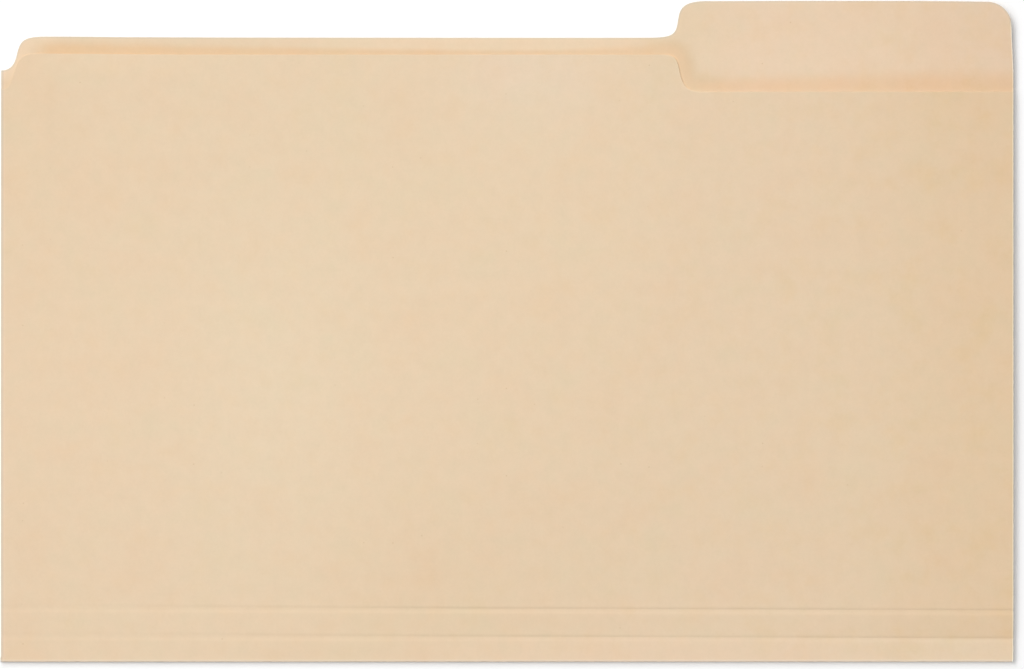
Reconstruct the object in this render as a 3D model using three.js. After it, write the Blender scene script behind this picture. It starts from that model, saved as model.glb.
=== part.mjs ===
// A closed file folder of manila card: one die-cut sheet, folded once and scored twice.
// It lies on its back panel. Millimetres, +X to the tab side, +Y from the fold to the tab, +Z up.
// The origin is at the middle of the folder's footprint, on the surface that it lies on.
import * as THREE from 'three';

// The sheet
const SHEET_WIDTH = 374.65; // 14 3/4 inches, a legal-size folder
const SHEET_THICKNESS = 0.28; // 11 point card

// The folded heights, each from the fold's outer face
const OVERALL_HEIGHT = 244.5; // to the top of the tab
const SHOULDER_HEIGHT = 230.9; // to the back panel's top edge beside the tab
const FRONT_HEIGHT = 224.6; // to the front panel's top edge
const INNER_SCORE_HEIGHT = 8.9;
const OUTER_SCORE_HEIGHT = 19.2;

// The fold
const FLAP_GAP = 0.64; // between the two panels' inner faces, beside the fold
const REST_OPENING = THREE.MathUtils.degToRad(0.5); // how far the front panel springs up when closed
const BEND_SEGMENTS = 8; // in each quarter of the bend

// Clearances
const SCORE_SETBACK = 0.19; // from a score line to the card beside it, over half the thickness
const SEAM_GAP = 0.02; // from the end of the bend to the card that goes on from it
const BEND_SPLIT = 0.06; // between the two halves of the bend, on the fold's outermost line

// The tab on the back panel
const TAB_STEP_CENTRE = 250.7; // the middle of the tab's left side, from the sheet's left edge
const TAB_STEP_FOOT = 7.5; // how far that side's curve runs out on the shoulder
const TAB_STEP_CROWN = 9.5; // how far that side's curve runs in on the tab's top
const TAB_CORNER_RADIUS = 9;
const TAB_SIDE_INSET = 0.95; // of the tab's right side, from the sheet's right edge
const TAB_SIDE_RUN = 27.5; // from the tab's top to where that side meets the sheet's edge

// The notch in the front panel, under the tab
const NOTCH_DEPTH = 13.7;
const NOTCH_STEP_CENTRE = 251.2; // the middle of the notch's side, from the sheet's left edge
const NOTCH_STEP_CROWN = 7;
const NOTCH_STEP_FOOT = 9;

// The relieved top left corner of both panels
const CORNER_STEP_CENTRE = 6.1; // from the sheet's left edge
const CORNER_STEP_CROWN = 7.4;
const BACK_CORNER_DEPTH = 12.5;
const FRONT_CORNER_DEPTH = 13.2;

// The S-shaped steps: how steep their middles are, and how full their two curves are
const STEP_LEAN = THREE.MathUtils.degToRad(78);
const CORNER_LEAN = THREE.MathUtils.degToRad(72);
const STEP_EASE = 0.67;
const STEP_PULL = 0.65;
const STEP_SEGMENTS = 10;

// Worked out from the sizes above
const BEND_RADIUS = (FLAP_GAP + SHEET_THICKNESS) / 2; // of the card's middle
const BEND_OUTER_RADIUS = BEND_RADIUS + SHEET_THICKNESS / 2;
const LEFT = -SHEET_WIDTH / 2;
const RIGHT = SHEET_WIDTH / 2;

const manila = { color: 0xe8d0b1, roughness: 0.86, metalness: 0 };

function card(name, geometry) {
  const mesh = new THREE.Mesh(geometry, new THREE.MeshStandardMaterial(manila));
  mesh.name = name;
  return mesh;
}

// A height above the fold's outer face, as a distance from the middle of the bend
function fromBend(height) {
  return height - BEND_OUTER_RADIUS;
}

// An S-shaped step from the shape's present point to the end: level, then steep, then level again
function addStep(shape, middle, end, lean) {
  const start = shape.currentPoint.clone();
  const side = Math.sign(end.y - start.y);
  const steep = new THREE.Vector2(Math.cos(lean), side * Math.sin(lean));
  const first = middle.clone().addScaledVector(steep, -STEP_PULL * Math.abs(middle.y - start.y));
  const second = middle.clone().addScaledVector(steep, STEP_PULL * Math.abs(end.y - middle.y));
  shape.bezierCurveTo(
    start.x + STEP_EASE * (middle.x - start.x), start.y,
    first.x, first.y,
    middle.x, middle.y,
  );
  shape.bezierCurveTo(
    second.x, second.y,
    end.x - STEP_EASE * (end.x - middle.x), end.y,
    end.x, end.y,
  );
}

// The relieved corner at a panel's top left, up to its top edge
function addCorner(shape, top, depth) {
  shape.lineTo(LEFT, top - depth);
  const middle = new THREE.Vector2(LEFT + CORNER_STEP_CENTRE, top - depth / 2);
  const end = new THREE.Vector2(middle.x + CORNER_STEP_CROWN, top);
  addStep(shape, middle, end, CORNER_LEAN);
}

// The back panel's outline, clockwise from its bottom left corner
function backOutline() {
  const shoulder = fromBend(SHOULDER_HEIGHT);
  const tabTop = fromBend(OVERALL_HEIGHT);
  const tabRight = RIGHT - TAB_SIDE_INSET;
  const radius = TAB_CORNER_RADIUS;
  const shape = new THREE.Shape();
  shape.moveTo(LEFT, SEAM_GAP);
  addCorner(shape, shoulder, BACK_CORNER_DEPTH);
  const middle = new THREE.Vector2(LEFT + TAB_STEP_CENTRE, (shoulder + tabTop) / 2);
  const crown = new THREE.Vector2(middle.x + TAB_STEP_CROWN, tabTop);
  shape.lineTo(middle.x - TAB_STEP_FOOT, shoulder);
  addStep(shape, middle, crown, STEP_LEAN);
  shape.lineTo(tabRight - radius, tabTop);
  shape.absarc(tabRight - radius, tabTop - radius, radius, Math.PI / 2, 0, true);
  const halfway = tabTop - (radius + TAB_SIDE_RUN) / 2;
  shape.bezierCurveTo(tabRight, halfway, RIGHT, halfway, RIGHT, tabTop - TAB_SIDE_RUN);
  shape.lineTo(RIGHT, SEAM_GAP);
  shape.closePath();
  return shape;
}

// The front panel's outline, clockwise from its bottom left corner
function frontOutline() {
  const top = fromBend(FRONT_HEIGHT);
  const bottom = fromBend(OUTER_SCORE_HEIGHT) + SCORE_SETBACK;
  const shape = new THREE.Shape();
  shape.moveTo(LEFT, bottom);
  addCorner(shape, top, FRONT_CORNER_DEPTH);
  const middle = new THREE.Vector2(LEFT + NOTCH_STEP_CENTRE, top - NOTCH_DEPTH / 2);
  const foot = new THREE.Vector2(middle.x + NOTCH_STEP_FOOT, top - NOTCH_DEPTH);
  shape.lineTo(middle.x - NOTCH_STEP_CROWN, top);
  addStep(shape, middle, foot, STEP_LEAN);
  shape.lineTo(RIGHT, foot.y);
  shape.lineTo(RIGHT, bottom);
  shape.closePath();
  return shape;
}

// A flat sheet of card of that outline, its middle at height 0
function panel(outline) {
  const options = { depth: SHEET_THICKNESS, bevelEnabled: false, curveSegments: STEP_SEGMENTS };
  return new THREE.ExtrudeGeometry(outline, options).translate(0, 0, -SHEET_THICKNESS / 2);
}

// A straight strip of card from one distance to another from the bend's middle
function strip(low, high) {
  const geometry = new THREE.BoxGeometry(SHEET_WIDTH, high - low, SHEET_THICKNESS);
  return geometry.translate(0, (low + high) / 2, 0);
}

// A quarter of the bend, curving from the back panel's level round to the fold's outermost line
function bendQuarter() {
  const outer = BEND_OUTER_RADIUS;
  const inner = outer - SHEET_THICKNESS;
  const first = 1.5 * Math.PI;
  const last = (radius) => Math.PI + Math.asin(BEND_SPLIT / 2 / radius);
  const shape = new THREE.Shape();
  shape.absarc(0, 0, outer, first, last(outer), true);
  shape.absarc(0, 0, inner, last(inner), first, false);
  shape.closePath();
  const options = { depth: SHEET_WIDTH, bevelEnabled: false, curveSegments: BEND_SEGMENTS };
  const sectionToFolder = new THREE.Matrix4().makeBasis(
    new THREE.Vector3(0, 1, 0),
    new THREE.Vector3(0, 0, 1),
    new THREE.Vector3(1, 0, 0),
  );
  return new THREE.ExtrudeGeometry(shape, options).applyMatrix4(sectionToFolder).translate(LEFT, 0, 0);
}

const backPanel = card('back_panel', panel(backOutline()));
const foldBack = card('fold_back_half', bendQuarter());
foldBack.position.z = BEND_RADIUS;

// The front half of the bend is the back half turned over, end for end
const foldFront = card('fold_front_half', bendQuarter());
foldFront.position.z = BEND_RADIUS;
foldFront.rotation.set(0, Math.PI, 0);

const innerScore = fromBend(INNER_SCORE_HEIGHT);
const outerScore = fromBend(OUTER_SCORE_HEIGHT);
const innerStrip = card('inner_expansion_strip', strip(SEAM_GAP, innerScore - SCORE_SETBACK));
const outerStrip = card(
  'outer_expansion_strip',
  strip(innerScore + SCORE_SETBACK, outerScore - SCORE_SETBACK),
);
const frontPanel = card('front_panel', panel(frontOutline()));

const frontFlap = new THREE.Group();
frontFlap.position.z = 2 * BEND_RADIUS;
frontFlap.rotation.x = REST_OPENING;
frontFlap.add(innerStrip, outerStrip, frontPanel);

const folder = new THREE.Group();
folder.position.set(0, BEND_OUTER_RADIUS - OVERALL_HEIGHT / 2, SHEET_THICKNESS / 2);
folder.add(backPanel, foldBack, foldFront, frontFlap);

export default folder;
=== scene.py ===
"""A closed file folder of manila card, lying on its back panel and seen from straight above."""

import math

import bpy
import numpy as np
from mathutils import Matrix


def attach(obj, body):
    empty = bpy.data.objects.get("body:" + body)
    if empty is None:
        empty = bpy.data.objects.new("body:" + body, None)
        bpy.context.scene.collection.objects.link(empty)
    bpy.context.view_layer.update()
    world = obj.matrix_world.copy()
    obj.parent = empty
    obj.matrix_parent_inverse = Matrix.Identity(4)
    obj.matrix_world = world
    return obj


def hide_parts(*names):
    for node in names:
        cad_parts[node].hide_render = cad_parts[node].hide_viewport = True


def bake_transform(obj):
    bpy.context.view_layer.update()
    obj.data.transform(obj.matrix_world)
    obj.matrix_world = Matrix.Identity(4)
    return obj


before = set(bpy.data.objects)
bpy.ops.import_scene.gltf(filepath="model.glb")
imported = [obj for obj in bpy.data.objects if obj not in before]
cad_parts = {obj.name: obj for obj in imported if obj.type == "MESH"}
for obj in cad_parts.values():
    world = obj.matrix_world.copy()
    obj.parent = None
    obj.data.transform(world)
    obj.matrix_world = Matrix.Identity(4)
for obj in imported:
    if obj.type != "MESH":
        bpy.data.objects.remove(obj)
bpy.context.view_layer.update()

# Sizes are in millimetres until MM turns them into metres. Places are x across the sheet, from its middle, and d up
# the panel, from the end of the bend. A pair of places is where a smooth ramp starts and where it ends.
MM = 0.001

# The sheet, as the CAD has it
SHEET_WIDTH = 374.65
THICKNESS = 0.28
OVERALL_HEIGHT = 244.5
SHOULDER_HEIGHT = 230.9
FRONT_HEIGHT = 224.6
BEND_RADIUS = 0.46
BEND_OUTER_RADIUS = 0.6
REST_OPENING = math.radians(0.5)
LEFT = -SHEET_WIDTH / 2
RIGHT = SHEET_WIDTH / 2
BEND_Y = BEND_OUTER_RADIUS - OVERALL_HEIGHT / 2
BACK_Z = THICKNESS / 2
BEND_Z = BACK_Z + BEND_RADIUS
FRONT_Z = BACK_Z + 2 * BEND_RADIUS
BEND_LENGTH = math.pi * BEND_RADIUS

# The tab, the notch and the relieved corners, with fuller curves than the CAD's
TAB_CORNER_RADIUS = 9.0
TAB_CORNER_DEGREES = 9  # from one point of the tab's round corner to the next
TAB_SIDE_INSET = 0.65
TAB_SIDE_RUN = 27.5
TAB_SIDE_WIDTH = 120  # of the part that the inset draws in
NOTCH_DEPTH = 13.7
BACK_CORNER_DEPTH = 12.5
FRONT_CORNER_DEPTH = 13.2
STEP_SEGMENTS = 18
# Each S-shaped step: its middle from the sheet's left edge, how far it runs to the left and right,
# the lean of its middle in degrees, and how full its two curves are, along the level and the steep part
TAB_STEP = (250.665, 11.31, 10.83, 82.0, (0.86, 0.81), (0.84, 0.64))
NOTCH_STEP = (251.3, 7.0, 9.0, 77.0, (0.85, 0.75), (0.75, 0.72))
BACK_CORNER_STEP = (5.92, 5.92, 10.4, 76.0, (0.755, 0.775), (0.44, 0.78))
FRONT_CORNER_STEP = (5.0, 5.0, 8.5, 73.0, (0.7, 0.72), (0.5, 0.68))
# How far the top edges waver: places across the sheet, each with the height there
BACK_WAVE = (
    ((-170, 0.37), (-165, 0.37), (-154, 0.29), (-143, 0.17), (-121, 0.09), (-99, 0.03), (-65, 0))
    + ((-21, -0.05), (34, -0.07), (60, -0.03), (76, -0.1), (90, -0.06), (100, 0), (115, 0))
    + ((134, -0.06), (151, -0.08), (162, -0.19), (168, -0.25), (179, -0.41))
)
FRONT_WAVE = ((-172, 0.35), (-160, 0.3), (-143, 0.12), (-125, 0))
WAVE_UP = (150, 222)

# The fold's bend
BEND_FULLNESS = 0.72  # 1 is a round bend, less is a sharper crease
BEND_BULGE = 0.2
FLARE = 0.3  # of the fold's left end, out of the sheet's side
FLARE_WIDTH = 7
FLARE_ALONG = (0.6, 2.6)

# Where the separate stretches of card meet, as distances from the bend's end
BACK_SEAM = 1.0
FOLD_SEAM = 3.0
INNER_SCORE_FROM = 6.0
INNER_SCORE_TO = 11.0
OUTER_SCORE_FROM = 16.0
OUTER_SCORE_TO = 21.0

# The two pressed score lines: distance from the bend's end at the left and at the right edge
INNER_SCORE = (9.1, 7.9)
OUTER_SCORE = (19.46, 18.25)
SCORE_WIDTH = (1.0, 0.5)  # of the steep side, at the left and from the middle on
SCORE_SLOPE_WIDTH = 1.25  # of the gentle side, towards the fold
INNER_SCORE_DEPTH = (0.04, 0.105)
OUTER_SCORE_DEPTH = (0.045, 0.135)
DEPTH_WAVES = ((0.10, 17, 1), (0.07, 5.3, -1))  # of a score line: share, length and way of the turn

# How the card lies
LONG_RIPPLE = 0.045
SHORT_RIPPLE = 0.018
SIDE_LIFTS = ((0.48, 0, 18), (0.75, 70, 200), (0.4, 205, 244))  # of both panels: height, and where it rises
SIDE_LIFT_ACROSS = (80, 187)
ROLL_HEIGHT = 0.55  # of the back panel, near its top left corner
ROLL_UP = (120, 216)
ROLL_DOWN = (216, 230.5)
ROLL_START = (-187.3, -172)
ROLL_END = (-150, -60)
CARRIED_HEIGHT = 0.44  # of the front panel, which lies on the roll
CARRIED_START = (-187.3, -170)
CARRIED_DOWN = (216, 226)
CARRIED_DROP = 0.7
BACK_RIPPLE = 0.03
BACK_RIPPLE_SCALE = 0.09
STRIP_RISE = 0.12  # how much the inner strip rises to the fold, at the right
SAG_SLOPE = 0.00873  # takes back the rest opening
SAG = 0.42
SAG_END = 205
SAG_POWER = 1.3
STEP_SAG = 0.13  # more of it at the notch's step
STEP_SAG_PLACE = ((65, 215), (16, 14))

# The die-cut edge
EDGE_RADIUS = 0.06
EDGE_ROWS = (0.22, 0.45, 0.75, 1.2, 1.8)  # the grid's lines just inside a cut edge
SHARP_ANGLE = math.radians(50)

# The meshes' grid
COLUMN_STEP = 3.0
LEAST_COLUMN_GAP = 0.12
ROW_STEP = 3.0
TOP_ROW_STEP = 0.8
TOP_ROWS_HEIGHT = 6.0  # how far below the lowest top edge the rows start to follow its shape
EDGE_ROWS_GAP = 0.6
SCORE_ROW_STEP = 0.125
STRIP_ROW_STEP = 0.5
FOLD_ROW_STEP = 0.09

# Tints, which multiply red, green and blue where their share is full. First those over the whole sheet, with
# painted shade that dims it towards the right.
PAINTED_SHADE_RIGHT = (0.995, 0.995, 0.995)
YELLOWER_RIGHT = (0.987, 0.958, 0.913)
WARMER_LOW = (0.988, 0.980, 0.975)
DULLER_SIDE = (0.990, 0.985, 0.980)
DULLER_LEFT = (0.988, 0.983, 0.983)
DULLER_TOP = (0.975, 0.978, 0.975)
SHEET_BLOTS = (  # centre, reach and tint
    ((-182, 215), (20, 60), (0.985, 0.980, 0.970)),
    ((136, 90), (15, 110), (1.0, 1.012, 1.024)),
    ((-88, 105), (32, 75), (1.007, 1.034, 1.046)),
    ((-32, 22), (45, 40), (0.985, 0.972, 0.955)),
    ((50, 215), (80, 80), (1.018, 1.018, 1.02)),
)
# A rim along a cut edge, of painted shade or painted highlight: its tint, how far in that fades, and the tint of a
# fainter painted line beside it. The left rim and the back panel's top rim are painted shade with a paler line
# beside them, and the right rim is a painted highlight with a darker line beside it.
LEFT_RIM_PAINTED_SHADE = ((0.88, 0.93, 1.02), (0.55, 0.95), (1.035, 1.03, 1.055))
RIGHT_RIM_PAINTED_HIGHLIGHT = ((1.19, 1.39, 1.60), (0.25, 0.5), (0.985, 0.980, 0.945))
BACK_RIM_PAINTED_SHADE = ((0.925, 0.98, 1.05), (0.35, 0.8), (1.012, 1.015, 1.02))
RIM_LINE = (0.1, 0.8)
# painted shade: the outermost left edge greyer and bluer
LEFT_EDGE = (0.97, 1.06, 1.12)
LEFT_EDGE_FADE = (0.2, 0.45)
# The front panel, its strips and the fold
# painted light: the inner strip made lighter, as if it faced the lamps more
INNER_STRIP_PAINTED_LIGHT = (  # of the inner strip: where across the sheet each one comes in
    ((-60, 0), (1.025, 1.015, 1.03)),
    ((95, 130), (1.01, 1.03, 1.04)),
    ((140, 165), (1.01, 1.04, 1.07)),
)
DULLER_UPPER_RIGHT = (0.992, 0.981, 0.985)
PALER_LOWER_RIGHT = (1.009, 1.006, 1.012)
PALE_SPOT = ((8, 218), (26, 20), (1.01, 1.02, 1.07))
WARM_SPOT = ((168, 205), (25, 10), (1.0, 0.985, 0.965))
# painted highlight: a pale line beside each score line, on the side of its groove that faces the light
SCORE_PAINTED_HIGHLIGHT = (1.022, 1.020, 1.022)
SCORE_HIGHLIGHT_PLACE = -1.4  # from the score line's bottom, towards the fold
SCORE_HIGHLIGHT_WIDTH = 0.6
# painted light on the front panel's edge along the notch, more along its step, lifting the shade there
NOTCH_EDGE_PAINTED_LIGHT = (1.025, 1.025, 1.02)
STEP_EDGE_PAINTED_LIGHT = (1.06, 1.06, 1.05)
FRONT_RIM_FADE = (0.1, 0.65)
# painted light along the outer face of the fold's bend, lifting the shade on its turned-down side
FOLD_PAINTED_LIGHT = (1.14, 1.22, 1.36)
FOLD_PAINTED_LIGHT_FADE = (0.45, 0.95)
# The back panel's inner face
ROSIER_TAB = (1.035, 1.010, 1.04)
PALER_TAB = (1.0, 1.006, 1.012)
BLUER_TAB_END = (0.995, 1.0, 1.035)
DULLER_TAB_TOP = (0.985, 0.985, 0.980)
# painted shade on the back panel along the front panel's edge, less in red than in green and blue
PAINTED_SHADE_BAND = (0.995, 0.92, 0.84)
# painted light on the back panel right beside the notch's step, lifting the shadow of the front panel's edge
STEP_FOOT_PAINTED_LIGHT = (1.10, 1.09, 1.08)
# painted shade on the back panel a few millimetres beside the notch's step
BESIDE_STEP_PAINTED_SHADE = (0.955, 0.970, 0.965)
# painted light on a strip of the back panel just above the front panel's edge, as if it tilted towards the lamps
BACK_STRIP_PAINTED_LIGHT = (1.045, 1.035, 1.035)
# painted light at the back panel's top left corner, as if it turned towards the lamps
CORNER_PAINTED_LIGHT = (1.06, 1.06, 1.08)
# The band of painted shade along the front panel's edge: places across the sheet, with its reach left of the tab
# and under the tab, and its strength
PLAIN_REACH = ((-187, 5.4), (-158, 5.2), (-77, 3.4), (-3, 2.2), (20, 2.4), (36, 3.6), (57, 4.4))
TAB_REACH = ((62, 8.0), (83, 6.5), (127, 8.0), (168, 9.5))
BAND_STRENGTH = ((-158, 1.4), (-77, 1.15), (-3, 0.85), (57, 0.9), (83, 1.0))

# The card's material: its colour, its layers' tints and its noises
MANILA = (0.823, 0.641, 0.4495)
CLOUD_TINTS = ((1.0, 0.980, 0.968), (0.980, 1.0, 0.990))
STAIN_TINT = (0.982, 0.958, 0.875)
MOTTLE_TINT = (0.972, 0.972, 0.966)
BLUSH_TINTS = ((1.0, 0.985, 0.958), (0.982, 1.0, 0.996))
PULP_TINT = (0.980, 0.977, 0.970)
HAIR_TINT = (0.965, 0.95, 0.925)
FLECK_TINT = (0.90, 0.86, 0.78)
NOISES = {  # where the pattern is taken, scale, detail, roughness, and how it is stretched
    "clouds": ((0.31, 0.12), 42.0, 3.0, 0.6),
    "stain": ((1.7, 0.4), 75.0, 4.0, 0.65),
    "mottle": ((0.9, 2.2), 170.0, 3.0, 0.6),
    "blush": ((6.9, 1.2), 120.0, 3.0, 0.6),
    "pulp": ((4.1, 3.3), 900.0, 4.0, 0.65),
    "fibres": ((2.5, 1.1), 1100.0, 2.0, 0.5, (1.0, 4.5, 1.0)),
    "crossed fibres": ((5.5, 0.1), 900.0, 2.0, 0.5, (5.0, 1.3, 1.0)),
    "tooth": ((7.1, 6.3), 2600.0, 3.0, 0.6),
    "felt": ((3.1, 9.3), 420.0, 3.0, 0.55),
}
FLECK_PLACE = (0.2, 0.8)
FLECK_SCALE = 95.0
FLECK_SIZE = (0.016, 0.034)
TOOTH_SHARE = 0.35
HAIR_SHARE = 0.25
BUMP_STRENGTH = 0.35
BUMP_DEPTH = 0.00003
WHITE = (1.0, 1.0, 1.0, 1.0)

# The camera and the light
PIXEL = 0.3701
IMAGE_WIDTH = 1024
IMAGE_HEIGHT = 669
SHEET_LEFT_PIXEL = 1.0
FOLD_EDGE_PIXEL = 661.4
VIEWED_Z = 1.2
LENS = 250.0
SENSOR = 36.0
FAR_CLIP = 100.0
FILL_LEVEL = 0.26
LAMP_DISTANCE = 4.0
# Soft lamps: name, azimuth, elevation, share of the light on the sheet, size in metres
LAMPS = (
    ("overhead", 100, 80, 0.24, 3.0),
    ("key", 138, 42, 0.26, 2.4),
    ("rear", 112, 32, 0.13, 1.8),
    ("side", 180, 42, 0.11, 2.2),
)
FLOOR_SIZE = 40.0
FLOOR_Z = -0.4
FLOOR_TONE = 0.96
# The floor's glow, seen by the camera only: from the left side to the right, and more at each distance in metres
SIDE_GLOW = ((-0.2, 0.2), (0.05, 0.06))
FAR_GLOWS = (((0.3, 0.9), 0.45), ((0.9, 4.0), 0.55))


def smooth(low, high, value):
    """A smooth ramp from 0 at low to 1 at high."""
    t = np.clip((np.asarray(value, float) - low) / (high - low), 0, 1)
    return t * t * (3 - 2 * t)


def along_sheet(ends, x):
    """A value that changes evenly from the sheet's left edge to its right edge."""
    return ends[0] + (ends[1] - ends[0]) * (np.asarray(x, float) - LEFT) / SHEET_WIDTH


def from_table(table, x):
    """A value that is given at some places across the sheet and changes evenly between them."""
    return np.interp(x, *zip(*table))


def blot(x, d, centre, reach):
    """A soft round blot, 1 in its middle."""
    return np.exp(-(((x - centre[0]) / reach[0]) ** 2) - ((d - centre[1]) / reach[1]) ** 2)


# ---- Outlines


def from_bend(height):
    """The distance from the bend's end at a height above the fold."""
    return height - BEND_OUTER_RADIUS


def bezier(a, b, c, d, count):
    """The points of a curve after its first one."""
    t = np.linspace(0, 1, count + 1)[1:, None]
    points = [np.array(p, float) for p in (a, b, c, d)]
    weights = [(1 - t) ** 3, 3 * t * (1 - t) ** 2, 3 * t * t * (1 - t), t**3]
    return sum(w * p for w, p in zip(weights, points))


def step(shape, first_level, last_level):
    """The points of an S-shaped step, from left to right: level, then steep, then level again."""
    centre, run_left, run_right, lean, ease, pull = shape
    lean = math.radians(lean)
    half = (last_level - first_level) / 2
    steep = np.array([abs(half) * math.cos(lean), half * math.sin(lean)])
    middle = np.array([LEFT + centre, first_level + half])
    start = np.array([middle[0] - run_left, first_level])
    end = np.array([middle[0] + run_right, last_level])
    lower = start + [ease[0] * run_left, 0.0]
    upper = end - [ease[1] * run_right, 0.0]
    first = bezier(start, lower, middle - pull[0] * steep, middle, STEP_SEGMENTS)
    last = bezier(middle, middle + pull[1] * steep, upper, end, STEP_SEGMENTS)
    return np.vstack([[start], first, last])


def back_top():
    """The back panel's top edge, from left to right, with the tab."""
    shoulder, crown = from_bend(SHOULDER_HEIGHT), from_bend(OVERALL_HEIGHT)
    corner = step(BACK_CORNER_STEP, shoulder - BACK_CORNER_DEPTH, shoulder)
    turn = np.radians(np.arange(90, -1, -TAB_CORNER_DEGREES))
    arc = np.stack([np.cos(turn), np.sin(turn)], 1) - 1
    arc = arc * TAB_CORNER_RADIUS + [RIGHT, crown]
    return np.vstack([corner, step(TAB_STEP, shoulder, crown), arc])


def front_top():
    """The front panel's top edge, from left to right, with the notch."""
    top = from_bend(FRONT_HEIGHT)
    corner = step(FRONT_CORNER_STEP, top - FRONT_CORNER_DEPTH, top)
    fall = step(NOTCH_STEP, top, top - NOTCH_DEPTH)
    return np.vstack([corner, fall, [(RIGHT, top - NOTCH_DEPTH)]])


def columns(edge):
    """Where the grid's columns stand: evenly, at the edge's own points and just inside both sides."""
    kept = [LEFT, RIGHT] + [LEFT + inset for inset in EDGE_ROWS] + [RIGHT - inset for inset in EDGE_ROWS]
    even = np.arange(LEFT + COLUMN_STEP, RIGHT - 1, COLUMN_STEP)
    for places, gap in ((edge[:, 0], LEAST_COLUMN_GAP), (even, COLUMN_STEP / 3)):
        for x in places:
            if min(abs(x - k) for k in kept) > gap:
                kept.append(x)
    return np.array(sorted(kept))


# ---- How the card lies


def ripple(x, d, turn):
    """The slight unevenness of a large sheet of card, in long and in short waves."""
    long = np.sin(x / 29 + 1.3 + turn) * np.sin(d / 37 + 0.4 * turn)
    short = np.sin(x / 13 - d / 21 + 2.1 * turn) * np.sin(d / 17 + x / 41 + turn)
    return LONG_RIPPLE * long + SHORT_RIPPLE * short


def common_lift(x, d):
    """How far both panels stand off the table together, along the right side."""
    height = sum(rise * smooth(low, high, d) for rise, low, high in SIDE_LIFTS)
    return height * smooth(*SIDE_LIFT_ACROSS, x)


def back_lift(x, d):
    """How far the back panel stands off the table. It rolls down to its top left corner."""
    rolled = smooth(*ROLL_START, x) * (1 - smooth(*ROLL_DOWN, d)) * smooth(*ROLL_UP, d)
    rolled = ROLL_HEIGHT * rolled * (1 - smooth(*ROLL_END, x))
    uneven = BACK_RIPPLE * (1 + ripple(x, d, 2.0) / BACK_RIPPLE_SCALE) * smooth(4, 40, d)
    return common_lift(x, d) + rolled + uneven


def carried(x, d):
    """How far the back panel's roll carries the front panel with it."""
    side = smooth(*CARRIED_START, x) * (1 - smooth(*ROLL_END, x))
    return CARRIED_HEIGHT * side * smooth(*ROLL_UP, d) * (1 - CARRIED_DROP * smooth(*CARRIED_DOWN, d))


def strip_rise(x, d):
    """The inner strip rises to the fold, more so at the right."""
    inner = along_sheet(INNER_SCORE, x)
    share = np.clip(1 - d / inner, 0, 1)
    return STRIP_RISE * smooth(-90, 60, x) * share


def score(x, d, ends, depths, turn):
    """A pressed line: a soft groove in the outer face and a bead inside."""
    share = smooth(-170, 0, x)
    depth = depths[0] + (depths[1] - depths[0]) * share
    depth = depth * (1 + sum(part * np.sin(x / length + way * turn) for part, length, way in DEPTH_WAVES))
    away = d - along_sheet(ends, x)
    steep = SCORE_WIDTH[0] + (SCORE_WIDTH[1] - SCORE_WIDTH[0]) * share
    return depth * np.exp(-((away / np.where(away > 0, steep, SCORE_SLOPE_WIDTH)) ** 2))


def front_lift(x, d):
    """The front panel's lift off its rest plane: it sags onto the back panel, most at the notch's step."""
    sag = SAG_SLOPE * d + SAG + STEP_SAG * blot(x, d, *STEP_SAG_PLACE)
    sag = sag * smooth(OUTER_SCORE_TO, SAG_END, d) ** SAG_POWER
    uneven = ripple(x, d, 0.0) * smooth(OUTER_SCORE_TO, 60, d)
    pressed = score(x, d, INNER_SCORE, INNER_SCORE_DEPTH, 0.3)
    pressed = pressed + score(x, d, OUTER_SCORE, OUTER_SCORE_DEPTH, 2.2)
    return common_lift(x, d) - sag + carried(x, d) + uneven + strip_rise(x, d) - pressed


def tab_inset(x, d):
    """How far the sheet's right side is cut back beside the tab."""
    top = from_bend(OVERALL_HEIGHT)
    share = smooth(top - TAB_SIDE_RUN, top - TAB_CORNER_RADIUS, d)
    return TAB_SIDE_INSET * share * smooth(RIGHT - TAB_SIDE_WIDTH, RIGHT, x)


def waver(x, d, wave):
    """How far a top edge that isn't quite straight moves the sheet near it."""
    return from_table(wave, x) * smooth(*WAVE_UP, d)


def place_back(x, d, h):
    """A point of the back panel: d up from the bend, h out from the card's middle, which is down."""
    y = BEND_Y + d + waver(x, d, BACK_WAVE)
    return np.stack([x - tab_inset(x, d), y, BACK_Z + back_lift(x, d) - h], -1)


def place_front(x, d, h):
    """A point of the front panel: d up from the bend, h out from the card's middle, which is up."""
    out = h + front_lift(x, d)
    c, s = math.cos(REST_OPENING), math.sin(REST_OPENING)
    y = BEND_Y + d * c - out * s + waver(x, d, FRONT_WAVE)
    return np.stack([x, y, FRONT_Z + d * s + out * c], -1)


def flare(x, p):
    """The fold's left end stands out of the sheet's side a little."""
    near = 1 - smooth(*FLARE_ALONG, np.abs(p - BEND_LENGTH / 2))
    return FLARE * near * (1 - smooth(LEFT, LEFT + FLARE_WIDTH, x))


def place_fold(x, p, h):
    """A point of the fold: p along the card from the bend's back end, h out from the card's middle."""
    turn = np.clip(p / BEND_RADIUS, 0, math.pi)
    rise = common_lift(x, 0.0) + strip_rise(x, 0.0) * smooth(math.pi / 2, math.pi, turn)
    across, up = np.sin(turn) ** BEND_FULLNESS, np.cos(turn)
    up = np.sign(up) * np.abs(up) ** BEND_FULLNESS
    y = BEND_Y - (BEND_RADIUS + h + BEND_BULGE) * across
    z = BEND_Z - (BEND_RADIUS + h) * up + rise
    bent = np.stack([x, y, z], -1)
    back = place_back(x, -np.minimum(p, 0), h)
    front = place_front(x, np.maximum(p - BEND_LENGTH, 0), h)
    point = np.where((p < 0)[..., None], back, np.where((p > BEND_LENGTH)[..., None], front, bent))
    point[..., 0] -= flare(x, p)
    return point


# ---- Tones


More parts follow.
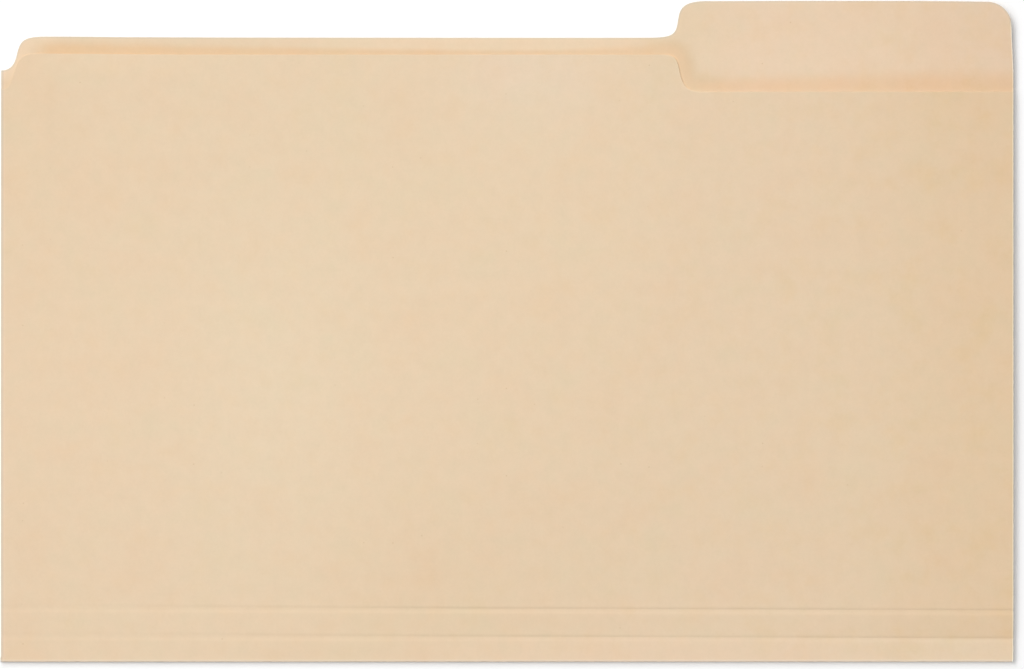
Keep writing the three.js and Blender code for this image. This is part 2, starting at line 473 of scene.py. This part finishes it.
def distance(x, d, edge):
    """Each point's distance to a polyline in the sheet."""
    points = np.stack([np.ravel(x), np.ravel(d)], 1)
    least = np.full(len(points), np.inf)
    for start, end in zip(edge[:-1], edge[1:]):
        along = end - start
        share = np.clip((points - start) @ along / (along @ along), 0, 1)
        gap = np.hypot(*(points - start - share[:, None] * along).T)
        least = np.minimum(least, gap)
    return least.reshape(np.shape(x))


def tinted(tone, *terms):
    """Multiplies a tone by a share of each term's tint, one after the other."""
    for share, tint in terms:
        tone = tone * (1 + np.asarray(share)[..., None] * (np.array(tint) - 1))
    return tone


def sheet_tone(x, d):
    """Tints over the whole sheet: yellower at the right, paler left of the middle, and dimmed towards the right by
    painted shade.
    """
    blots = [(blot(x, d, centre, reach), tint) for centre, reach, tint in SHEET_BLOTS]
    return tinted(
        np.ones(np.shape(x) + (3,)),
        # painted shade: the sheet dims towards the right
        (smooth(-120, 187, x), PAINTED_SHADE_RIGHT),
        (smooth(90, 187, x), YELLOWER_RIGHT),
        (smooth(-60, 60, x) * (1 - smooth(40, 220, d)), WARMER_LOW),
        (1 - smooth(-187.4, -140, x), DULLER_SIDE),
        (1 - smooth(-150, -20, x), DULLER_LEFT),
        (smooth(70, 200, d), DULLER_TOP),
        *blots,
    )


def rim_terms(gap, rim):
    """A cut edge's rim in a tint of painted shade or highlight, and a fainter painted line beside it."""
    own, (near, far), beside = rim
    line_near, line_far = RIM_LINE
    line = smooth(near, far, gap) * (1 - smooth(far + line_near, far + line_far, gap))
    return (line, beside), (1 - smooth(near, far, gap), own)


def side_rims(x):
    """The sheet's left side is made greyer by painted shade and its right side paler by a painted highlight."""
    left = rim_terms(x - LEFT, LEFT_RIM_PAINTED_SHADE)
    right = rim_terms(RIGHT - x, RIGHT_RIM_PAINTED_HIGHLIGHT)
    return *left, (1 - smooth(*LEFT_EDGE_FADE, x - LEFT), LEFT_EDGE), *right


def painted_score_highlight(x, d, ends):
    """The painted highlight on a pressed line's side towards the fold."""
    away = d - along_sheet(ends, x) - SCORE_HIGHLIGHT_PLACE
    return np.exp(-((away / SCORE_HIGHLIGHT_WIDTH) ** 2))


def front_tone(x, d, h):
    """The front panel's, the strips' and the fold's tone, with painted light on the inner strip, beside the score
    lines and along the notch's edge, and painted shade and highlight at the sheet's sides.
    """
    outer = h > 0
    strip = outer * (1 - smooth(-0.8, 0.4, d - along_sheet(INNER_SCORE, x)))
    painted_light = painted_score_highlight(x, d, OUTER_SCORE) + painted_score_highlight(x, d, INNER_SCORE) * (1 - 0.8 * smooth(-60, 20, x))
    tone = tinted(
        sheet_tone(x, d),
        *side_rims(x),
        # painted light on the inner strip
        *((strip * smooth(*across, x), tint) for across, tint in INNER_STRIP_PAINTED_LIGHT),
        (smooth(30, 75, x) * smooth(60, 190, d), DULLER_UPPER_RIGHT),
        (smooth(20, 60, x) * (1 - smooth(10, 60, d)), PALER_LOWER_RIGHT),
        (blot(x, d, *PALE_SPOT[:2]), PALE_SPOT[2]),
        (outer * blot(x, d, *WARM_SPOT[:2]), WARM_SPOT[2]),
        # painted highlight beside the score lines
        (outer * painted_light, SCORE_PAINTED_HIGHLIGHT),
    )
    # painted light along the front panel's edge at the notch and its step
    painted_edge_light = tinted(
        np.ones_like(tone),
        (outer * smooth(56, 66, x), NOTCH_EDGE_PAINTED_LIGHT),
        (outer * smooth(57, 61, x) * (1 - smooth(72, 76, x)), STEP_EDGE_PAINTED_LIGHT),
    )
    return tinted(tone, (1 - smooth(*FRONT_RIM_FADE, distance(x, d, front_top())), painted_edge_light))


def fold_tone(x, p, h):
    """The fold's tone, with painted light along the bend's outer face, more so from the middle on."""
    # painted light on the bend's outer face
    painted_light = (h > 0) * (1 - smooth(*FOLD_PAINTED_LIGHT_FADE, np.abs(p - 0.5 * BEND_LENGTH)))
    painted_light = painted_light * (1 + 0.25 * smooth(-90, 60, x))
    return tinted(front_tone(x, p - BEND_LENGTH, h), (painted_light, FOLD_PAINTED_LIGHT))


def back_tone(x, d, h):
    """The back panel's tone: on its inner face rosier at the tab, with painted shade along the front panel's edge
    and beside the notch's step, painted light at the step's foot, on a strip above the front panel's edge and at
    the top left corner, and painted shade along its own top edge.
    """
    inner = h < 0
    edge = front_top()
    beyond = inner * (d > np.interp(x, edge[:, 0], edge[:, 1]))
    gap = distance(x, d, edge)
    own_gap = distance(x, d, back_top())
    plain = from_table(PLAIN_REACH, x)
    reach = plain + smooth(50, 66, x) * (from_table(TAB_REACH, x) - plain)
    # painted shade along the front panel's edge
    shade_band = beyond * (1 - smooth(0.35 * reach, 1.1 * reach, gap)) * smooth(-177, -168, x)
    # painted light right beside the notch's step
    step_light = beyond * smooth(56, 62, x) * (1 - smooth(72, 82, x)) * (1 - smooth(0.35, 0.9, gap))
    # painted shade beside the notch's step
    step_shade = beyond * smooth(56, 64, x) * (1 - smooth(74, 86, x)) * np.exp(-(((gap - 4.8) / 2.0) ** 2))
    # painted light on a strip just above the front panel's edge
    strip = beyond * smooth(-110, -30, x) * (1 - smooth(40, 58, x)) * smooth(1.0, 2.5, gap)
    return tinted(
        sheet_tone(x, d),
        (inner * smooth(62, 95, x) * smooth(60, 200, d), ROSIER_TAB),
        (inner * smooth(100, 140, x) * smooth(200, 225, d), PALER_TAB),
        (inner * smooth(140, 187, x) * smooth(200, 225, d), BLUER_TAB_END),
        (inner * smooth(222, 240, d), DULLER_TAB_TOP),
        (shade_band * from_table(BAND_STRENGTH, x), PAINTED_SHADE_BAND),
        (step_light, STEP_FOOT_PAINTED_LIGHT),
        (step_shade, BESIDE_STEP_PAINTED_SHADE),
        (strip, BACK_STRIP_PAINTED_LIGHT),
        # painted light at the top left corner
        (inner * (1 - smooth(-172, -166, x)) * (1 - smooth(1, 6, own_gap)), CORNER_PAINTED_LIGHT),
        *side_rims(x),
        # painted shade along the back panel's top edge, with a paler painted line beside it
        *rim_terms(own_gap, BACK_RIM_PAINTED_SHADE),
    )


# ---- Meshes


def border(rows, cols):
    """The grid's border vertices in order, and the side that each one's next edge lies on."""
    path = [(0, c, "bottom") for c in range(cols - 1)]
    path += [(r, cols - 1, "right") for r in range(rows - 1)]
    path += [(rows - 1, c, "top") for c in range(cols - 1, 0, -1)]
    path += [(r, 0, "left") for r in range(rows - 1, 0, -1)]
    return path


def outward(x, d, path, seams):
    """Each border vertex, and the direction in the sheet in which the card's cut edge faces there."""
    points = np.array([[x[r, c], d[r, c]] for r, c, _ in path])
    edges = np.roll(points, -1, 0) - points
    normals = np.stack([edges[:, 1], -edges[:, 0]], 1)
    normals /= np.linalg.norm(normals, axis=1)[:, None]
    cut = np.array([side not in seams for _, _, side in path])
    result = np.zeros_like(points)
    for i in range(len(path)):
        before, after = normals[i - 1], normals[i]
        if cut[i - 1] and cut[i]:
            result[i] = (before + after) / (1 + before @ after)
        elif cut[i - 1] or cut[i]:
            result[i] = after if cut[i] else before
    return points, result


def rim_profile():
    """The rounded cut edge from the outer face to the inner one: (inset, height) pairs."""
    half, r = THICKNESS / 2, EDGE_RADIUS
    turned = r * (1 - math.sqrt(0.5))
    upper = [(r, half), (turned, half - turned), (0.0, half - r)]
    return upper + [(inset, -height) for inset, height in reversed(upper)]


def sheet_solid(name, x, d, place, seams, sheet_place, tone_of):
    """A closed piece of card over the grid x, d, with rounded edges where it is cut and flat ends at its seams.

    place turns (x, d, h) into a point, sheet_place turns d into the distance along the unfolded sheet,
    and tone_of gives the card's colour multiplier.
    """
    rows, cols = x.shape
    path = border(rows, cols)
    points, out = outward(x, d, path, seams)
    x, d = x.copy(), d.copy()
    profile = rim_profile()
    for (r, c, _), p, m in zip(path, points, out):
        x[r, c], d[r, c] = p - profile[0][0] * m
    half = THICKNESS / 2
    parts = [(x.ravel(), d.ravel(), np.full(x.size, height)) for height in (half, -half)]
    for inset, height in profile[1:-1]:
        ring = points - inset * out
        parts.append((ring[:, 0], ring[:, 1], np.full(len(ring), height)))
    px, pd, ph = (np.concatenate(values) for values in zip(*parts))
    tone = np.ones((len(px), 4))
    tone[:, :3] = tone_of(px, pd, ph)
    position = place(px, pd, ph) * MM
    sheet = np.stack([px, sheet_place(pd)], 1) * MM

    grid = np.arange(rows * cols).reshape(rows, cols)
    quads = np.stack([grid[:-1, :-1], grid[:-1, 1:], grid[1:, 1:], grid[1:, :-1]], -1).reshape(-1, 4)
    faces = [quads, quads[:, ::-1] + rows * cols]
    loop = np.array([grid[r, c] for r, c, _ in path])
    count = len(path)
    rings = [loop] + [2 * rows * cols + k * count + np.arange(count) for k in range(len(profile) - 2)]
    rings.append(loop + rows * cols)
    for above, below in zip(rings[:-1], rings[1:]):
        faces.append(np.stack([above, below, np.roll(below, -1), np.roll(above, -1)], 1))
    faces = np.vstack(faces)

    mesh = bpy.data.meshes.new(name)
    mesh.from_pydata(position.tolist(), [], faces.tolist())
    turn_outward(mesh)
    mesh.shade_smooth()
    mesh.set_sharp_from_angle(angle=SHARP_ANGLE)
    uv = mesh.uv_layers.new(name="sheet")
    corner_vertex = np.zeros(len(mesh.loops), np.int32)
    mesh.loops.foreach_get("vertex_index", corner_vertex)
    uv.data.foreach_set("uv", sheet[corner_vertex].astype(np.float32).ravel())
    attribute = mesh.attributes.new("tone", "FLOAT_COLOR", "POINT")
    attribute.data.foreach_set("color", tone.astype(np.float32).ravel())
    mesh.validate()
    piece = bpy.data.objects.new(name, mesh)
    bpy.context.scene.collection.objects.link(piece)
    return piece


def turn_outward(mesh):
    """Flips the faces if the closed mesh is inside out."""
    points = np.zeros(len(mesh.vertices) * 3)
    mesh.vertices.foreach_get("co", points)
    points = points.reshape(-1, 3) - points.reshape(-1, 3).mean(0)
    corners = np.array([list(p.vertices) for p in mesh.polygons])
    a, b, c, e = (points[corners[:, i]] for i in range(4))
    volume = np.einsum("ij,ij->", a, np.cross(b, c)) + np.einsum("ij,ij->", a, np.cross(c, e))
    if volume < 0:
        mesh.flip_normals()


def panel_grid(edge, low):
    """The grid of a whole panel, from d = low up to its shaped top edge."""
    across = columns(edge)
    top = np.interp(across, edge[:, 0], edge[:, 1])
    level = min(top) - TOP_ROWS_HEIGHT
    plain = np.linspace(low, level, int((level - low) / ROW_STEP) + 2)
    inner = top - EDGE_ROWS[-1] - EDGE_ROWS_GAP
    shares = np.linspace(0, 1, int((max(inner) - level) / TOP_ROW_STEP) + 2)[1:]
    rows = [np.full(len(across), value) for value in plain]
    rows += [level + share * (inner - level) for share in shares]
    rows += [top - inset for inset in reversed(EDGE_ROWS)] + [top]
    d = np.array(rows)
    return np.broadcast_to(across, d.shape).copy(), d


def front_sheet_place(d):
    return d + BEND_LENGTH / 2


def back_sheet_place(d):
    return -d - BEND_LENGTH / 2


def fold_sheet_place(p):
    return p - BEND_LENGTH / 2


def make_pieces():
    """All the card, as name: piece."""
    front_edge = front_top()
    across = columns(front_edge)
    front = (place_front, front_sheet_place, front_tone)
    made = {}

    def card(name, x, d, seams, kind):
        place, sheet_place, tone_of = kind
        made[name] = sheet_solid(name, x, d, place, seams, sheet_place, tone_of)

    def strip(name, low, high, row_step, kind=front):
        rows = np.linspace(low, high, round((high - low) / row_step) + 1)
        card(name, *np.meshgrid(across, rows), ("top", "bottom"), kind)

    card("back_card", *panel_grid(back_top(), BACK_SEAM), ("bottom",), (place_back, back_sheet_place, back_tone))
    fold = (place_fold, fold_sheet_place, fold_tone)
    strip("fold_card", -BACK_SEAM, BEND_LENGTH + FOLD_SEAM, FOLD_ROW_STEP, fold)
    strip("inner_strip_card", FOLD_SEAM, INNER_SCORE_FROM, STRIP_ROW_STEP)
    strip("inner_score_card", INNER_SCORE_FROM, INNER_SCORE_TO, SCORE_ROW_STEP)
    strip("outer_strip_card", INNER_SCORE_TO, OUTER_SCORE_FROM, STRIP_ROW_STEP)
    strip("outer_score_card", OUTER_SCORE_FROM, OUTER_SCORE_TO, SCORE_ROW_STEP)
    card("front_card", *panel_grid(front_edge, OUTER_SCORE_TO), ("bottom",), front)
    return made


# ---- Materials


class Nodes:
    """A short way to write a node tree."""

    def __init__(self, material):
        material.use_nodes = True
        self.tree = material.node_tree
        self.tree.nodes.clear()

    def add(self, kind, inputs=None, **settings):
        node = self.tree.nodes.new(kind)
        for key, value in settings.items():
            setattr(node, key, value)
        for key, value in (inputs or {}).items():
            self.put(node.inputs[key], value)
        return node

    def put(self, socket, value):
        if isinstance(value, bpy.types.NodeSocket):
            self.tree.links.new(value, socket)
        else:
            socket.default_value = value

    def math(self, operation, a, b):
        return self.add("ShaderNodeMath", {0: a, 1: b}, operation=operation).outputs[0]

    def noise(self, vector, scale, detail, roughness):
        inputs = {"Vector": vector, "Scale": scale, "Detail": detail, "Roughness": roughness}
        return self.add("ShaderNodeTexNoise", inputs).outputs["Fac"]

    def ramp(self, value, low, high, first=0.0, last=1.0):
        inputs = {"Value": value, "From Min": low, "From Max": high, "To Min": first, "To Max": last}
        return self.add("ShaderNodeMapRange", inputs).outputs[0]

    def tint(self, colour, tint, share):
        """Multiplies a colour by another one, by a share."""
        inputs = {0: share, 6: colour, 7: (*tint, 1.0)}
        return self.add("ShaderNodeMix", inputs, data_type="RGBA", blend_type="MULTIPLY").outputs[2]

    def shifted(self, vector, x, y, stretch=(1.0, 1.0, 1.0)):
        """The sheet's coordinates, moved and stretched, so that each layer has a pattern of its own."""
        inputs = {"Vector": vector, "Location": (x, y, 0.0), "Scale": stretch}
        return self.add("ShaderNodeMapping", inputs).outputs[0]

    def finish(self, kind, inputs, output):
        """The tree's shader and its output."""
        shader = self.add(kind, inputs)
        self.add(output, {"Surface": shader.outputs[0]})


def manila_material():
    """Manila card: mottled pulp with faint stains, short fibres and sparse flecks."""
    material = bpy.data.materials.new("manila_card")
    nodes = Nodes(material)
    uv = nodes.add("ShaderNodeUVMap", uv_map="sheet").outputs[0]
    tone = nodes.add("ShaderNodeAttribute", attribute_name="tone").outputs["Color"]
    colour = nodes.tint(tone, MANILA, 1.0)

    def noise(name):
        place, scale, detail, roughness, *stretch = NOISES[name]
        return nodes.noise(nodes.shifted(uv, *place, *stretch), scale, detail, roughness)

    clouds = noise("clouds")
    colour = nodes.tint(colour, CLOUD_TINTS[0], nodes.ramp(clouds, 0.50, 0.72))
    colour = nodes.tint(colour, CLOUD_TINTS[1], nodes.ramp(clouds, 0.50, 0.28))

    # The stains are stronger towards the right
    across = nodes.add("ShaderNodeSeparateXYZ", {"Vector": uv}).outputs[0]
    side = nodes.ramp(across, -0.02, 0.187, 0.15, 1.0)
    stain = nodes.math("MULTIPLY", nodes.ramp(noise("stain"), 0.50, 0.75), side)
    colour = nodes.tint(colour, STAIN_TINT, stain)
    colour = nodes.tint(colour, MOTTLE_TINT, nodes.ramp(noise("mottle"), 0.35, 0.75))

    blush = noise("blush")
    colour = nodes.tint(colour, BLUSH_TINTS[0], nodes.ramp(blush, 0.5, 0.75))
    colour = nodes.tint(colour, BLUSH_TINTS[1], nodes.ramp(blush, 0.5, 0.25))
    colour = nodes.tint(colour, PULP_TINT, nodes.ramp(noise("pulp"), 0.35, 0.75))

    fibres = nodes.ramp(noise("fibres"), 0.66, 0.76)
    hairs = nodes.math("MAXIMUM", fibres, nodes.ramp(noise("crossed fibres"), 0.68, 0.78))
    colour = nodes.tint(colour, HAIR_TINT, hairs)

    # A few cells hold a fleck
    place = {"Vector": nodes.shifted(uv, *FLECK_PLACE), "Scale": FLECK_SCALE}
    cells = nodes.add("ShaderNodeTexVoronoi", place, voronoi_dimensions="2D")
    near = nodes.ramp(cells.outputs["Distance"], *FLECK_SIZE, 1.0, 0.0)
    chosen = nodes.add("ShaderNodeSeparateColor", {"Color": cells.outputs["Color"]}).outputs[0]
    fleck = nodes.math("MULTIPLY", near, nodes.ramp(chosen, 0.92, 0.98))
    colour = nodes.tint(colour, FLECK_TINT, fleck)

    felt = noise("felt")
    height = nodes.math("ADD", nodes.math("MULTIPLY", noise("tooth"), TOOTH_SHARE), felt)
    height = nodes.math("ADD", height, nodes.math("MULTIPLY", hairs, HAIR_SHARE))
    relief = {"Strength": BUMP_STRENGTH, "Distance": BUMP_DEPTH, "Height": height}
    look = {
        "Base Color": colour,
        "Roughness": nodes.ramp(felt, 0.3, 0.7, 0.80, 0.90),
        "Specular IOR Level": 0.25,
        "Normal": nodes.add("ShaderNodeBump", relief).outputs[0],
    }
    nodes.finish("ShaderNodeBsdfPrincipled", look, "ShaderNodeOutputMaterial")
    return material


def seen_rays(nodes):
    """1 where the camera sees a surface, also in metal or through glass, and 0 where it lights another one."""
    path = nodes.add("ShaderNodeLightPath")
    seen = path.outputs["Is Camera Ray"]
    for name in ("Is Glossy Ray", "Is Transmission Ray"):
        seen = nodes.math("MAXIMUM", seen, path.outputs[name])
    return seen


def floor_material():
    """A white floor that keeps the folder's soft shadow and looks white far away from the lamps too."""
    material = bpy.data.materials.new("floor")
    nodes = Nodes(material)
    place = nodes.add("ShaderNodeTexCoord").outputs["Object"]
    away = nodes.add("ShaderNodeVectorMath", {0: place}, operation="LENGTH").outputs["Value"]
    across = nodes.add("ShaderNodeSeparateXYZ", {"Vector": place}).outputs[0]
    places, levels = SIDE_GLOW
    glow = nodes.ramp(across, *places, *levels)
    for places, level in FAR_GLOWS:
        glow = nodes.math("ADD", glow, nodes.ramp(away, *places, 0.0, level))
    look = {
        "Base Color": (FLOOR_TONE, FLOOR_TONE, FLOOR_TONE, 1.0),
        "Roughness": 1.0,
        "Specular IOR Level": 0.0,
        "Emission Color": WHITE,
        "Emission Strength": nodes.math("MULTIPLY", glow, seen_rays(nodes)),
    }
    nodes.finish("ShaderNodeBsdfPrincipled", look, "ShaderNodeOutputMaterial")
    return material


# ---- The stage


def make_floor():
    """A floor that reaches out of every view."""
    mesh = bpy.data.meshes.new("floor")
    corners = [(x * FLOOR_SIZE, y * FLOOR_SIZE, FLOOR_Z * MM) for x, y in ((-1, -1), (1, -1), (1, 1), (-1, 1))]
    mesh.from_pydata(corners, [], [(0, 1, 2, 3)])
    mesh.materials.append(floor_material())
    floor = bpy.data.objects.new("floor", mesh)
    bpy.context.scene.collection.objects.link(floor)


def make_world():
    """White where it is seen, and a fainter white fill light."""
    world = bpy.data.worlds.new("studio")
    bpy.context.scene.world = world
    nodes = Nodes(world)
    strength = nodes.ramp(seen_rays(nodes), 0.0, 1.0, FILL_LEVEL, 1.0)
    nodes.finish("ShaderNodeBackground", {"Color": WHITE, "Strength": strength}, "ShaderNodeOutputWorld")


def make_lamp(name, azimuth, elevation, share, size):
    """A large soft disc that lights the sheet from one side."""
    azimuth, elevation = math.radians(azimuth), math.radians(elevation)
    data = bpy.data.lights.new(name, "AREA")
    data.shape = "DISK"
    data.size = size
    data.energy = share * math.pi**2 * (LAMP_DISTANCE**2 + size**2 / 4) / math.sin(elevation)
    lamp = bpy.data.objects.new(name, data)
    level = LAMP_DISTANCE * math.cos(elevation)
    height = LAMP_DISTANCE * math.sin(elevation)
    lamp.location = (level * math.cos(azimuth), level * math.sin(azimuth), height)
    lamp.rotation_euler = (-lamp.location).to_track_quat("-Z", "Y").to_euler()
    bpy.context.scene.collection.objects.link(lamp)


def make_camera():
    """The camera looks straight down, with the fold along the picture's lower edge."""
    camera = bpy.data.cameras.new("camera")
    camera.type = "PERSP"
    camera.lens = LENS
    camera.sensor_width = SENSOR
    camera.clip_end = FAR_CLIP
    eye = bpy.data.objects.new("camera", camera)
    across = LEFT + (IMAGE_WIDTH / 2 - SHEET_LEFT_PIXEL) * PIXEL
    up = -OVERALL_HEIGHT / 2 + (FOLD_EDGE_PIXEL - IMAGE_HEIGHT / 2) * PIXEL
    height = IMAGE_WIDTH * PIXEL * LENS / SENSOR + VIEWED_Z
    eye.location = (across * MM, up * MM, height * MM)
    bpy.context.scene.collection.objects.link(eye)
    bpy.context.scene.camera = eye


def score_blend(piece):
    """Bakes the piece's place into its mesh."""
    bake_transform(piece)


def join_to_frame(pieces):
    """The panel and strip pieces move with their bodies, the fold's and the score lines' pieces are baked in place,
    and the CAD parts are hidden.
    """
    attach(pieces["back_card"], "back_panel")
    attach(pieces["inner_strip_card"], "inner_strip")
    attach(pieces["outer_strip_card"], "outer_strip")
    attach(pieces["front_card"], "front_panel")
    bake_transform(pieces["fold_card"])
    score_blend(pieces["inner_score_card"])
    score_blend(pieces["outer_score_card"])
    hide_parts("back_panel")
    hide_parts("fold_back_half", "fold_front_half")
    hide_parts("inner_expansion_strip")
    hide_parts("outer_expansion_strip")
    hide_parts("front_panel")


scene = bpy.context.scene
scene.view_settings.view_transform = "Standard"
card = make_pieces()
manila = manila_material()
for piece in card.values():
    piece.data.materials.append(manila)
join_to_frame(card)
make_floor()
make_world()
for lamp in LAMPS:
    make_lamp(*lamp)
make_camera()
